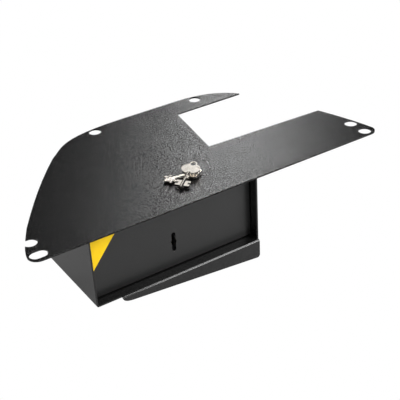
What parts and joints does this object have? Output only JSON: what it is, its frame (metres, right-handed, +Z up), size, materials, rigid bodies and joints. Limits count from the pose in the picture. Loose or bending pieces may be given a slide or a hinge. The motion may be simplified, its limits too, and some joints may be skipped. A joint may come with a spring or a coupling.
{
  "type": "drawer safe",
  "caption": "Shallow steel drawer safe hung under an irregular mounting plate with bolt holes and a notch; recessed keyed front, tapered front lip, keys on top.",
  "frame": {"origin": "on the top face of the mounting plate, over the middle of the housing in plan", "axes": "+X to the right along the front edge, +Y to the back, +Z up, square to the plate"},
  "size_m": [0.496, 0.25, 0.1363],
  "materials": {
    "powder_coat": "fine textured black powder coat",
    "drawer_coat": "satin black powder coat",
    "zinc_steel": "bright zinc plate",
    "nickel": "satin nickel plate",
    "brass_works": "plain brass",
    "rubber": "matt black rubber"
  },
  "bodies": {
    "housing": {"mounting_plate": "powder_coat", "housing_shell": "powder_coat", "housing_back": "powder_coat", "left_rail": "zinc_steel", "right_rail": "zinc_steel", "left_strike": "zinc_steel", "right_strike": "zinc_steel", "rear_bumpers": "rubber"},
    "drawer": {"drawer_tub": "drawer_coat", "drawer_front": "drawer_coat", "drawer_mat": "rubber", "left_runner": "zinc_steel", "right_runner": "zinc_steel", "works_cover": "drawer_coat", "lock_case": "zinc_steel", "lock_cover": "zinc_steel", "cover_screws": "zinc_steel", "lock_studs": "zinc_steel", "lock_nuts": "zinc_steel", "bolt_bushes": "brass_works", "drill_pin": "zinc_steel", "lever_posts": "zinc_steel", "lever_springs": "zinc_steel"},
    "key_follower": {"key_guide": "brass_works"},
    "upper_bolt": {"right_bolt": "zinc_steel", "right_bolt_rod": "zinc_steel"},
    "lower_bolt": {"left_bolt": "zinc_steel", "left_bolt_rod": "zinc_steel"},
    "upper_lever_pack": {"upper_levers": "brass_works"},
    "lower_lever_pack": {"lower_levers": "brass_works"},
    "keys": {"key_1": "nickel", "key_2": "nickel", "key_ring": "nickel"}
  },
  "joints": [
    {"name": "drawer_slide", "type": "slide", "parent": "housing", "child": "drawer", "axis": [0, -1, 0], "range_m": [0, 0.085]},
    {"name": "key_turn", "type": "hinge", "parent": "drawer", "child": "key_follower", "pos_m": [0, -0.047, -0.054], "axis": [0, 1, 0], "range_deg": [0, 180]},
    {"name": "upper_bolt_slide", "type": "slide", "parent": "drawer", "child": "upper_bolt", "axis": [1, 0, 0], "range_m": [0, 0.0075]},
    {"name": "lower_bolt_slide", "type": "slide", "parent": "drawer", "child": "lower_bolt", "axis": [-1, 0, 0], "range_m": [0, 0.0075]},
    {"name": "upper_levers_lift", "type": "hinge", "parent": "drawer", "child": "upper_lever_pack", "pos_m": [-0.025, -0.0355, -0.04], "axis": [0, -1, 0], "range_deg": [0, 3], "stiffness_Nm_per_rad": 0.05, "springref_deg": -20.05},
    {"name": "lower_levers_lift", "type": "hinge", "parent": "drawer", "child": "lower_lever_pack", "pos_m": [0.025, -0.0355, -0.068], "axis": [0, -1, 0], "range_deg": [0, 3], "stiffness_Nm_per_rad": 0.05, "springref_deg": -20.05},
    {"name": "keys_lift", "type": "slide", "parent": "housing", "child": "keys", "axis": [0, 0, 1], "range_m": [0, 0.1]}
  ],
  "couplings": [
    {"joint": "upper_bolt_slide", "follows": "key_turn", "m_per_rad": 0.002387},
    {"joint": "lower_bolt_slide", "follows": "key_turn", "m_per_rad": 0.002387}
  ]
}
